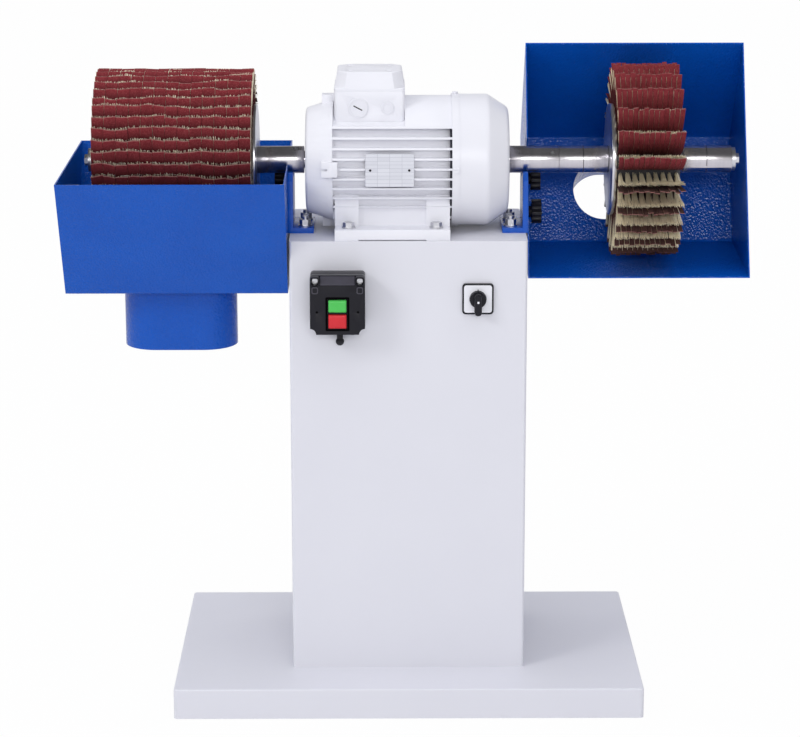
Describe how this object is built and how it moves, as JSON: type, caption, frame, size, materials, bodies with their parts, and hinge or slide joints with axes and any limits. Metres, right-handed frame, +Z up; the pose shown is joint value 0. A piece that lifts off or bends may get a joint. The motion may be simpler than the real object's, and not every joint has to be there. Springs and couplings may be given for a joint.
{
  "type": "sanding and polishing machine",
  "caption": "Floor-standing double-ended sander and polisher: a finned motor on a pedestal drives a slashed-strip roller and a brush flap wheel in blue swinging dust hoods.",
  "frame": {"origin": "on the floor under the middle of the base pan", "axes": "+X along the motor shaft to the operator's right, +Y away from the operator, +Z up"},
  "size_m": [1.102, 0.5266, 1.0559],
  "materials": {
    "cabinet_paint": "semi-gloss powder coat",
    "hood_paint": "hammered blue powder coat",
    "bracket_paint": "gloss blue paint",
    "cowl_paint": "semi-gloss paint",
    "motor_casting": "painted casting",
    "turned_steel": "turned",
    "zinc_fasteners": "zinc plated",
    "laminations": "varnished",
    "windings": "varnished wire",
    "turned_aluminium": "turned",
    "abrasive_cloth": "coated grit",
    "brush_fibre": "natural fibre",
    "black_plastic": "moulded, fine texture",
    "grey_plastic": "moulded",
    "white_plastic": "moulded",
    "green_plastic": "moulded",
    "red_plastic": "moulded",
    "black_rubber": "moulded"
  },
  "bodies": {
    "pedestal": {"base_plate": "cabinet_paint", "cabinet_shell": "cabinet_paint", "cabinet_top_plate": "cabinet_paint", "rear_cover": "cabinet_paint", "left_hood_bracket": "bracket_paint", "right_hood_bracket": "bracket_paint", "fan_cowl": "cowl_paint", "motor_housing": "motor_casting", "drive_end_shield": "motor_casting", "fan_end_shield": "motor_casting", "terminal_box": "motor_casting", "terminal_lid": "motor_casting", "bearing_outer_rings": "turned_steel", "rear_cover_screws": "zinc_fasteners", "bracket_bolts": "zinc_fasteners", "motor_screws": "zinc_fasteners", "motor_foot_bolts": "zinc_fasteners", "starter_screws": "zinc_fasteners", "stator_core": "laminations", "stator_windings": "windings", "rating_plate": "turned_aluminium", "terminal_block": "black_plastic", "starter_base": "black_plastic", "starter_cover": "black_plastic", "starter_switch_unit": "black_plastic", "selector_body": "black_plastic", "terminal_plugs": "grey_plastic", "selector_plate": "white_plastic", "starter_gland": "black_rubber"},
    "rotor": {"motor_shaft": "turned_steel", "rotor_core": "laminations", "bearing_inner_rings": "turned_steel", "cooling_fan": "black_plastic", "left_arbor": "turned_steel", "right_arbor": "turned_steel", "arbor_fasteners": "zinc_fasteners", "wheel_spacers": "turned_steel", "roller_flange": "turned_aluminium", "roller_core": "turned_aluminium", "roller_abrasive_strips": "abrasive_cloth", "roller_bristles": "brush_fibre", "wheel_flanges": "turned_aluminium", "wheel_core": "turned_aluminium", "wheel_abrasive_strips": "abrasive_cloth", "wheel_bristles": "brush_fibre"},
    "left_hood": {"left_hood_wrap": "hood_paint", "left_hood_near_wall": "hood_paint", "left_hood_far_wall": "hood_paint", "left_hood_spigot": "hood_paint"},
    "right_hood": {"right_hood_wrap": "hood_paint", "right_hood_near_wall": "hood_paint", "right_hood_far_wall": "hood_paint", "right_hood_spigot": "hood_paint"},
    "left_upper_knob": {"left_upper_knob": "black_plastic"},
    "left_lower_knob": {"left_lower_knob": "black_plastic"},
    "right_upper_knob": {"right_upper_knob": "black_plastic"},
    "right_lower_knob": {"right_lower_knob": "black_plastic"},
    "start_button": {"start_button": "green_plastic"},
    "stop_button": {"stop_button": "red_plastic"},
    "selector_knob": {"selector_knob": "black_plastic"}
  },
  "joints": [
    {"name": "rotor_spin", "type": "hinge", "parent": "pedestal", "child": "rotor", "pos_m": [0, -0.024, 0.877], "axis": [1, 0, 0], "continuous": true},
    {"name": "left_hood_swing", "type": "hinge", "parent": "pedestal", "child": "left_hood", "pos_m": [0, -0.024, 0.877], "axis": [1, 0, 0], "range_deg": [-11, 73]},
    {"name": "right_hood_swing", "type": "hinge", "parent": "pedestal", "child": "right_hood", "pos_m": [0, -0.024, 0.877], "axis": [1, 0, 0], "range_deg": [-76, 9]},
    {"name": "left_upper_knob_turn", "type": "hinge", "parent": "pedestal", "child": "left_upper_knob", "pos_m": [-0.205, 0.016, 0.8386], "axis": [-1, 0, 0], "range_deg": [0, 540]},
    {"name": "left_lower_knob_turn", "type": "hinge", "parent": "pedestal", "child": "left_lower_knob", "pos_m": [-0.205, -0.024, 0.791], "axis": [-1, 0, 0], "range_deg": [0, 540]},
    {"name": "right_upper_knob_turn", "type": "hinge", "parent": "pedestal", "child": "right_upper_knob", "pos_m": [0.205, 0.016, 0.8386], "axis": [1, 0, 0], "range_deg": [0, 540]},
    {"name": "right_lower_knob_turn", "type": "hinge", "parent": "pedestal", "child": "right_lower_knob", "pos_m": [0.205, -0.024, 0.791], "axis": [1, 0, 0], "range_deg": [0, 540]},
    {"name": "start_press", "type": "slide", "parent": "pedestal", "child": "start_button", "axis": [0, 1, 0], "range_m": [0, 0.004], "stiffness_N_per_m": 1200},
    {"name": "stop_press", "type": "slide", "parent": "pedestal", "child": "stop_button", "axis": [0, 1, 0], "range_m": [0, 0.004], "stiffness_N_per_m": 1200},
    {"name": "selector_turn", "type": "hinge", "parent": "pedestal", "child": "selector_knob", "pos_m": [0.111, -0.15, 0.672], "axis": [0, 1, 0], "range_deg": [-60, 60]}
  ]
}
